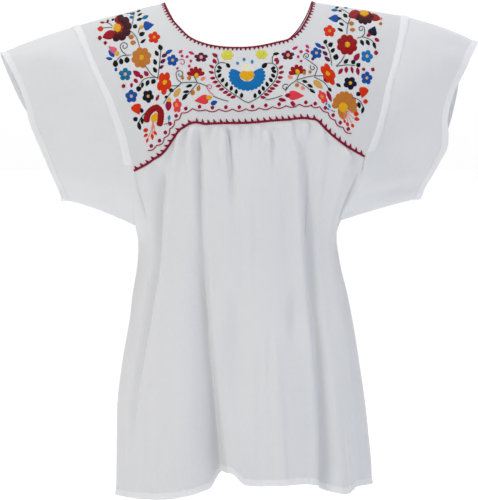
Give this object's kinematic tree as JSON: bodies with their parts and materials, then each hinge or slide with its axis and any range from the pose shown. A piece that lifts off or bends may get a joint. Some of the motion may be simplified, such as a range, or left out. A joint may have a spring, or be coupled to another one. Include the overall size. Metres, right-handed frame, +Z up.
{
  "type": "peasant blouse",
  "caption": "White cotton peasant blouse filled out as worn, with a scooped yoke embroidered in flowers, crocheted crimson edgings, a gathered body and short wide sleeves.",
  "frame": {"origin": "middle of the shoulder line, where the wearer's shoulders hold the blouse up", "axes": "+Z up, the front faces -Y, +X to the wearer's left"},
  "size_m": [0.6741, 0.292, 0.698],
  "materials": {
    "cotton": "matt plain woven cotton",
    "crochet": "mercerised cotton thread"
  },
  "bodies": {
    "root": {"yoke": "cotton", "front_panel": "cotton", "back_panel": "cotton", "right_sleeve": "cotton", "left_sleeve": "cotton", "neck_edging": "crochet", "front_yoke_edging": "crochet", "back_yoke_edging": "crochet"}
  },
  "joints": []
}
